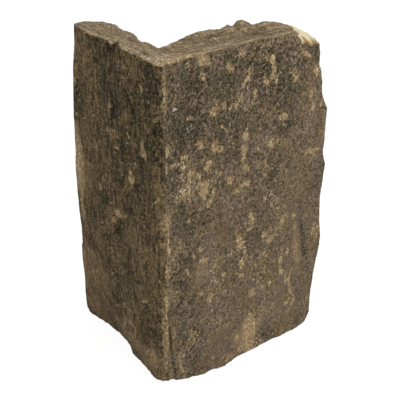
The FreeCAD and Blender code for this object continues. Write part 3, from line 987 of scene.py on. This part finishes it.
    def _height(self, source: Sources) -> Wire:
        """Builds the grain that is too fine for the mesh, in millimetres.

        Args:
            source: The place, the noises and the attributes.

        Returns:
            The height.
        """
        rough = source.total(grit=1.6, fine=0.9, pits=-0.8)
        rough = rough - source["streaks"] * source["return_face"] * self.streak_mm
        rough = rough * (1 - source["sawn"] * self.sawn_smoothness)
        return rough * (1 - source["chip"] * self.chip_smoothness)


@dataclass(frozen=True)
class Relief:
    """The unevenness of split stone, made by a Geometry Nodes tree over the plain block."""

    ridges: Grain = Grain(5.5, 5.5, 38, 5, 0.62, 5)
    clefts: Grain = Grain(14, 14, 22, 4, 0.5, 7)
    pitting: Grain = Grain(3.0, 3.0, 4.5, 3, 0.6, 9)
    breaks: Grain = Grain(8, 8, 8, 4, 0.55, 13)
    chips: Grain = Grain(5, 5, 7, 3, 0.6, 15)
    ridge_mm: float = 2.6
    cleft_mm: float = 1.2
    pit_mm: float = 0.8
    break_mm: float = 1.6
    chip_mm: float = 2.6
    kerf_mm: float = 0.06
    kerf_pitch_mm: float = 2.4
    swell_mm: float = 0.3
    crest_width: float = 0.12
    crest_share: float = 0.8
    ridge_share: float = 0.6
    ridges_on_long: float = 0.12
    terrace_band: Band = (-0.02, 0.05)
    terrace_share: float = 0.22
    cleft_share: float = 0.6
    clefts_on_return: float = 0.4
    chip_band: Band = (0.02, 0.22)

    def tree(self, material: bpy.types.Material) -> bpy.types.NodeTree:
        """Builds the tree.

        Args:
            material: The finish that the tree sets.

        Returns:
            The tree, whose named inputs are the heights of each kind of unevenness.
        """
        tree = bpy.data.node_groups.new("riven_relief", "GeometryNodeTree")
        graph = Graph(tree)
        for way in ("INPUT", "OUTPUT"):
            tree.interface.new_socket("Geometry", in_out=way, socket_type="NodeSocketGeometry")
        for name in self.heights():
            tree.interface.new_socket(name, in_out="INPUT", socket_type="NodeSocketFloat")
        given = {name: graph.node("NodeGroupInput", output=name) for name in self.heights()}

        place = graph.node("GeometryNodeInputPosition") * (1 / MM)
        outward = graph.node("GeometryNodeInputNormal")
        rise = self._rise(graph, place, given)
        block = graph.node("NodeGroupInput", output="Geometry")
        shift = {"Geometry": block, "Offset": outward * (rise * MM)}
        moved = graph.node("GeometryNodeSetPosition", inputs=shift)
        low = graph.axis(graph.node("GeometryNodeInputPosition"), "Z")
        lift = graph.node("ShaderNodeCombineXYZ", inputs={"Z": (low * -1.0).larger(0.0)})
        seated = graph.node("GeometryNodeSetPosition", inputs={"Geometry": moved, "Offset": lift})
        whole = graph.node("GeometryNodeRealizeInstances", inputs={0: seated})
        coat = {"Geometry": whole, "Material": material}
        dressed = graph.node("GeometryNodeSetMaterial", inputs=coat)
        graph.node("NodeGroupOutput", inputs={0: dressed})
        return tree

    def heights(self) -> dict[str, float]:
        """Gives the tree's named inputs.

        Returns:
            Their values in millimetres, by name.
        """
        return {
            "Ridge height": self.ridge_mm,
            "Cleft height": self.cleft_mm,
            "Pitting height": self.pit_mm,
            "Break height": self.break_mm,
            "Chip depth": self.chip_mm,
            "Kerf depth": self.kerf_mm,
            "Swell": self.swell_mm,
        }

    def _rise(self, graph: Graph, place: Wire, given: dict[str, Wire]) -> Wire:
        """Adds up how far each point moves outwards, in millimetres.

        Args:
            graph: The tree's graph.
            place: Positions in millimetres.
            given: The tree's named inputs.

        Returns:
            The movement, negative inwards.
        """
        def field(name: str) -> Wire:
            """Reads an attribute that the block was given."""
            kind = {"data_type": "FLOAT"}
            return graph.node("GeometryNodeInputNamedAttribute", kind, {"Name": name})

        on_return = field("return_face")
        on_long = field("long_face")
        broken = field("broken")
        ridged = self.ridges.noise(graph, place)
        ridges = ridged * self.ridge_share + (self.crest_width - ridged.size()) * self.crest_share
        cleft = self.clefts.noise(graph, place)
        terrace = graph.ease(cleft, *self.terrace_band) * self.terrace_share
        terrace = terrace + cleft * self.cleft_share
        rise = ridges * given["Ridge height"] * (on_return + on_long * self.ridges_on_long)
        clefts = terrace * given["Cleft height"]
        rise = rise + clefts * (on_long + on_return * self.clefts_on_return)
        pitting = self.pitting.noise(graph, place) * given["Pitting height"]
        rise = rise + pitting * (on_return + on_long + broken)
        rise = rise + self.breaks.noise(graph, place) * given["Break height"] * broken
        bites = graph.ease(self.chips.noise(graph, place), *self.chip_band)
        rise = rise - bites * given["Chip depth"] * field("edge")
        turn = graph.axis(place, "Z") * (math.tau / self.kerf_pitch_mm)
        kerf = graph.node("ShaderNodeMath", {"operation": "SINE"}, {0: turn})
        rise = rise + kerf * given["Kerf depth"] * field("sawn")
        return rise - field("carved") + given["Swell"]

    def applied(self, block: bpy.types.Object, material: bpy.types.Material) -> bpy.types.Mesh:
        """Runs the tree over a block.

        Args:
            block: The block, which carries its fields as attributes.
            material: The finish to set.

        Returns:
            The plain mesh that comes out.
        """
        tree = self.tree(material)
        modifier = block.modifiers.new("riven relief", "NODES")
        modifier.node_group = tree
        heights = self.heights()
        for item in tree.interface.items_tree:
            if item.in_out == "INPUT" and item.name in heights:
                modifier[item.identifier] = heights[item.name]
        shown = block.evaluated_get(bpy.context.evaluated_depsgraph_get())
        mesh = bpy.data.meshes.new_from_object(shown)
        block.modifiers.remove(modifier)
        return mesh


@dataclass
class CornerStone:
    """The whole stone: one L-shaped block with two riven faces, sawn backs and broken ends.

    A field that ends in _turn holds how far a normal leans towards a side before the point starts
    to belong to it, and where it belongs to it in full.
    """

    name: str = "riven_corner_stone"
    node: str = "corner_stone"
    body: str = "root"
    slot: str = "riven_stone"
    return_proud_mm: float = 6.1
    long_proud_mm: float = 4.49
    return_wall_mm: float = 23.0
    long_wall_mm: float = 39.5
    height_mm: float = 291.0
    mesh_step_mm: float = 1.5
    weld_mm: float = 0.01
    face_band_mm: float = 12.0
    back_band_mm: float = 2.0
    face_turn: Band = (0.35, 0.65)
    back_turn: Band = (0.7, 0.95)
    top_turn: Band = (0.4, 0.7)
    arris_turn: Band = (0.08, 0.45)
    mitre_mm: Band = (-20, 20)
    chip_start_mm: float = 133.5
    chip_slope: float = 0.22
    chip_foot_mm: float = 279.0
    chip_fall: float = 0.17
    chip_edge_mm: Band = (-1.0, 1.0)
    chip_rim_mm: Band = (4.5, 0.5)
    rim_below_mm: float = 1.0
    rim_width_mm: Band = (2.2, 0.8)
    rim_inward_mm: Band = (6, 2)
    rim_along_mm: Band = (36, 56)
    edge_rounds: int = 5
    edge_proud_mm: Band = (0.3, 0.9)
    hollows: tuple[tuple[str, int, float], ...] = (("cavity", 3, 0.25), ("hollow", 24, 0.8))
    hollow_range: Band = (-0.5, 2.0)
    relief: Relief = Relief()

    def build(self, finish: RivenFinish) -> bpy.types.Object:
        """Builds the stone and puts it in the place of its plain solid.

        Args:
            finish: The stone's finish.

        Returns:
            The finished piece.
        """
        block = self._block()
        self._write_fields(block.data)
        mesh = self.relief.applied(block, finish.material())
        bpy.data.objects.remove(block)
        mesh.name = self.name
        mesh.shade_smooth()
        self._write_hollows(mesh)
        piece = bpy.data.objects.new(self.name, mesh)
        bpy.context.scene.collection.objects.link(piece)
        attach(piece, self.body)
        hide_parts(self.node)
        log.info("%s: %d vertices, %d faces", self.name, len(mesh.vertices), len(mesh.polygons))
        return piece

    def _block(self) -> bpy.types.Object:
        """Makes an even, closed mesh of the stone's plain solid.

        Returns:
            An object that holds the remeshed copy.
        """
        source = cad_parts[self.node]
        copy = source.data.copy()
        form = bmesh.new()
        form.from_mesh(copy)
        bmesh.ops.remove_doubles(form, verts=form.verts, dist=self.weld_mm * MM)
        form.to_mesh(copy)
        form.free()
        copy.materials.clear()
        block = bpy.data.objects.new("block", copy)
        bpy.context.scene.collection.objects.link(block)
        remesh = block.modifiers.new("even mesh", "REMESH")
        remesh.mode = "VOXEL"
        remesh.voxel_size = self.mesh_step_mm * MM
        shown = block.evaluated_get(bpy.context.evaluated_depsgraph_get())
        even = bpy.data.meshes.new_from_object(shown)
        block.modifiers.remove(remesh)
        block.data = even
        return block

    def _read(self, mesh: bpy.types.Mesh) -> tuple[np.ndarray, np.ndarray]:
        """Reads a mesh in the stone's own coordinates.

        Args:
            mesh: The mesh to read.

        Returns:
            Its points in millimetres from the setting-out corner, and its normals.
        """
        count = len(mesh.vertices)
        points = np.empty(count * 3, np.float32)
        normals = np.empty(count * 3, np.float32)
        mesh.vertices.foreach_get("co", points)
        mesh.vertex_normals.foreach_get("vector", normals)
        low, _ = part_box(self.node)
        corner = np.array([low.x / MM + self.return_proud_mm, low.y / MM + self.long_proud_mm, 0.0])
        return points.reshape(-1, 3) / MM - corner, normals.reshape(-1, 3)

    @staticmethod
    def _write(mesh: bpy.types.Mesh, name: str, values: np.ndarray) -> None:
        """Writes one number per point as an attribute."""
        layer = mesh.attributes.new(name, "FLOAT", "POINT")
        layer.data.foreach_set("value", values.astype(np.float32))

    def _write_fields(self, mesh: bpy.types.Mesh) -> None:
        """Writes where each face, mark and worn edge lies, for the relief and the finish.

        Args:
            mesh: The even block.
        """
        place, normal = self._read(mesh)
        x, y, z = place.T
        inward = (self.face_band_mm, self.face_band_mm / 2)
        on_return = ease(-normal[:, 0], *self.face_turn) * ease(x, *inward)
        on_long = ease(-normal[:, 1], *self.face_turn) * ease(y, *inward)
        near = (self.back_band_mm * 2, self.back_band_mm)
        long_back = ease(np.abs(y - self.long_wall_mm), *near)
        return_back = ease(np.abs(x - self.return_wall_mm), *near)
        sawn = np.maximum(ease(normal[:, 1], *self.back_turn) * long_back,
                          ease(normal[:, 0], *self.back_turn) * return_back)
        chip, chip_rim = self._chip(place, sawn)
        values = {
            "return_face": on_return,
            "long_face": on_long,
            "sawn": sawn,
            "broken": np.clip(1 - np.maximum(on_return, on_long) - sawn, 0, 1),
            "arris": ease(np.minimum(-normal[:, 0], -normal[:, 1]), *self.arris_turn),
            "chip": chip,
            "chip_rim": chip_rim,
            "long_leg": ease(x - y, *self.mitre_mm),
            "rim": self._rim(x, y, z) * (1 - chip),
            "edge": self._edges(mesh, place, normal),
        }
        on_top = ease(normal[:, 2], *self.top_turn)
        faces = {Face.LONG: on_long, Face.RETURN: on_return, Face.TOP: on_top}
        values.update(self._marks(strayed(place), faces))
        for name, value in values.items():
            self._write(mesh, name, value)

    def _chip(self, place: np.ndarray, sawn: np.ndarray) -> tuple[np.ndarray, np.ndarray]:
        """Finds the cream broken corner at the end of the long leg.

        Args:
            place: Points in the stone's own millimetres.
            sawn: How far each point belongs to the sawn backs, which the chip leaves alone.

        Returns:
            The chip, and its burnt rim above the riven face.
        """
        ragged = strayed(place)
        x, y, _ = place.T
        away = ragged[:, 0] - self.chip_start_mm - self.chip_slope * y
        above = ragged[:, 2] - self.chip_foot_mm + self.chip_fall * (x - self.chip_start_mm)
        chip = ease(away, *self.chip_edge_mm) * ease(above, *self.chip_edge_mm) * (1 - sawn)
        return chip, ease(above, *self.chip_rim_mm)

    def _rim(self, x: np.ndarray, y: np.ndarray, z: np.ndarray) -> np.ndarray:
        """Finds the thin light line where the long face meets the broken top.

        Args:
            x: How far along the long leg each point lies.
            y: How far along the return each point lies.
            z: How high each point lies.

        Returns:
            1 on the line, 0 away from it.
        """
        level = np.abs(z - self.height_mm + self.rim_below_mm)
        outside = ease(y, *self.rim_inward_mm) * ease(x, *self.rim_along_mm)
        return ease(level, *self.rim_width_mm) * outside

    def _marks(self, place: np.ndarray, faces: dict[Face, np.ndarray]) -> dict[str, np.ndarray]:
        """Gathers the marks and ledges into fields.

        Args:
            place: Points in the stone's own millimetres, shifted a little.
            faces: How far each point belongs to each face.

        Returns:
            The fields "tan", "pale", "dark", wear with painted light, and "carved" in millimetres.
        """
        fields = {name: np.zeros(len(place)) for name in ("tan", "pale", "dark", "worn", "carved")}
        for face, marks in MARKS.items():
            for mark in marks:
                cover = mark.cover(*face.flat(place)) * faces[face]
                for name in ("tan", "pale", "dark", "worn"):
                    fields[name] += getattr(mark, name) * cover
                fields["carved"] += mark.sunk_mm * cover
        for face, ledges in LEDGES.items():
            for ledge in ledges:
                drop = ledge.drop(*face.flat(place)) * faces[face]
                fields["carved"] += drop * ledge.drop_mm
                # A ledge's dark is painted shade in its drop.
                fields["dark"] += drop * ledge.dark
        return fields

    @staticmethod
    def _smoother(mesh: bpy.types.Mesh) -> Callable[[np.ndarray, int], np.ndarray]:
        """Makes a function that averages a field over neighbouring points.

        Args:
            mesh: The mesh whose edges say which points are neighbours.

        Returns:
            A function of a field and a number of rounds.
        """
        ends = np.empty(len(mesh.edges) * 2, np.int32)
        mesh.edges.foreach_get("vertices", ends)
        first, second = ends.reshape(-1, 2).T
        count = len(mesh.vertices)
        shares = np.bincount(first, minlength=count) + np.bincount(second, minlength=count) + 1.0

        def smooth(values: np.ndarray, rounds: int) -> np.ndarray:
            """Averages each point with its neighbours.

            Args:
                values: The field, with a row for each point.
                rounds: How often it is averaged.

            Returns:
                The smoothed field.
            """
            for _ in range(rounds):
                total = values.copy()
                for column in range(values.shape[1]):
                    total[:, column] += np.bincount(first, values[second, column], count)
                    total[:, column] += np.bincount(second, values[first, column], count)
                values = total / shares[:, None]
            return values

        return smooth

    def _edges(self, mesh: bpy.types.Mesh, place: np.ndarray, normal: np.ndarray) -> np.ndarray:
        """Finds the convex edges that chip and wear.

        Args:
            mesh: The even block.
            place: Its points in millimetres.
            normal: Its normals.

        Returns:
            1 on a sharp outer edge, 0 away from one.
        """
        smooth = self._smoother(mesh)
        proud = np.einsum("ij,ij->i", place - smooth(place, self.edge_rounds), normal)
        return ease(proud, *self.edge_proud_mm)

    def _write_hollows(self, mesh: bpy.types.Mesh) -> None:
        """Writes how deep each point of the finished stone lies below its surroundings.

        Args:
            mesh: The finished mesh.
        """
        place, normal = self._read(mesh)
        smooth = self._smoother(mesh)
        for name, rounds, full_mm in self.hollows:
            around = smooth(place, rounds)
            steady = smooth(normal, rounds)
            depth = np.einsum("ij,ij->i", around - place, steady)
            self._write(mesh, name, np.clip(depth / full_mm, *self.hollow_range))


@dataclass(frozen=True)
class Lamp:
    """One soft square lamp that faces the stone."""

    name: str
    place: Point3
    width: float
    watts: float

    def hang(self, target: Vector) -> None:
        """Hangs the lamp in its place.

        Args:
            target: The point that it faces.
        """
        light = bpy.data.lights.new(self.name, "AREA")
        light.size = self.width
        light.energy = self.watts
        lamp = bpy.data.objects.new(self.name, light)
        lamp.location = self.place
        lamp.rotation_euler = (target - Vector(self.place)).to_track_quat("-Z", "Y").to_euler()
        bpy.context.scene.collection.objects.link(lamp)


@dataclass
class Studio:
    """The pale floor, the soft lamps and the camera."""

    floor_size: float = 9.0
    floor_white: float = 0.9
    shadow_share: float = 0.2
    shadow_end: float = 0.5
    floor_glow: float = 1.15
    ambient: float = 0.34
    lamps: tuple[Lamp, ...] = (
        Lamp("key", (0.55, -1.0, 1.25), 1.1, 17.0),
        Lamp("top", (-0.1, 0.1, 1.7), 1.2, 7.0),
        Lamp("fill", (-1.3, -0.7, 0.8), 1.2, 4.0),
    )
    lamp_target: Point3 = (0.0, 0.0, 0.15)
    sensor_mm: float = 36.0
    lens_mm: float = 84.96
    camera_reach: float = 50.0
    camera_place: Point3 = (-0.4304, -0.60314, 0.5210)
    camera_aim: Point3 = (0.5132, 0.7183, -0.4697)

    def build(self) -> None:
        """Builds the floor, the world, the lamps and the camera."""
        self._floor()
        self._world()
        for lamp in self.lamps:
            lamp.hang(Vector(self.lamp_target))
        self._camera()
        log.info("studio: floor, world, %d lamps and the camera", len(self.lamps))

    def _floor(self) -> None:
        """Lays the floor, which the camera sees as white where no shadow falls."""
        half = self.floor_size / 2
        corners = [(-half, -half, 0), (half, -half, 0), (half, half, 0), (-half, half, 0)]
        mesh = bpy.data.meshes.new("floor")
        mesh.from_pydata(corners, [], [(0, 1, 2, 3)])
        floor = bpy.data.objects.new("floor", mesh)
        bpy.context.scene.collection.objects.link(floor)
        made = bpy.data.materials.new("floor_paint")
        made.use_nodes = True
        graph = Graph(made.node_tree)
        paint = graph.node("ShaderNodeBsdfDiffuse", inputs={"Color": (*[self.floor_white] * 3, 1)})
        light = {"Color": (*WHITE, 1), "Strength": self.floor_glow}
        glow = graph.node("ShaderNodeEmission", inputs=light)
        place = graph.node("ShaderNodeTexCoord", output="Object")
        length = {"operation": "LENGTH"}
        away = graph.node("ShaderNodeVectorMath", length, {0: place}, output="Value")
        bare = graph.ease(away, self.shadow_end, self.shadow_end * 2) * self.shadow_share
        seen = self._seen(graph) * (bare + (1 - self.shadow_share))
        surface = graph.node("ShaderNodeMixShader", inputs={0: seen, 1: paint, 2: glow})
        graph.node("ShaderNodeOutputMaterial", inputs={"Surface": surface})
        mesh.materials.append(made)

    @staticmethod
    def _seen(graph: Graph) -> Wire:
        """Says whether a ray shows the background: to the camera, in a gloss or through glass.

        Args:
            graph: The graph that asks.

        Returns:
            1 for such a ray, 0 for any other.
        """
        names = ("Is Camera Ray", "Is Glossy Ray", "Is Transmission Ray")
        direct, gloss, glass = (graph.node("ShaderNodeLightPath", output=name) for name in names)
        return direct.larger(gloss).larger(glass)

    def _world(self) -> None:
        """Lights the scene evenly and shows white behind it."""
        world = bpy.data.worlds.new("studio")
        world.use_nodes = True
        graph = Graph(world.node_tree)
        strength = self._seen(graph) * (1 - self.ambient) + self.ambient
        light = {"Color": (*WHITE, 1), "Strength": strength}
        glow = graph.node("ShaderNodeBackground", inputs=light)
        graph.node("ShaderNodeOutputWorld", inputs={"Surface": glow})
        bpy.context.scene.world = world

    def _camera(self) -> None:
        """Sets up the camera at the photograph's viewing angle."""
        data = bpy.data.cameras.new("camera")
        data.sensor_width = self.sensor_mm
        data.lens = self.lens_mm
        data.clip_end = self.camera_reach
        camera = bpy.data.objects.new("camera", data)
        camera.location = self.camera_place
        camera.rotation_euler = Vector(self.camera_aim).to_track_quat("-Z", "Y").to_euler()
        bpy.context.scene.collection.objects.link(camera)
        bpy.context.scene.camera = camera


def main() -> None:
    """Builds the stone and its studio."""
    logging.basicConfig(level=logging.INFO, format="%(name)s: %(message)s")
    bpy.context.scene.view_settings.view_transform = "Standard"
    CornerStone().build(RivenFinish())
    Studio().build()


if __name__ == "__main__":
    main()
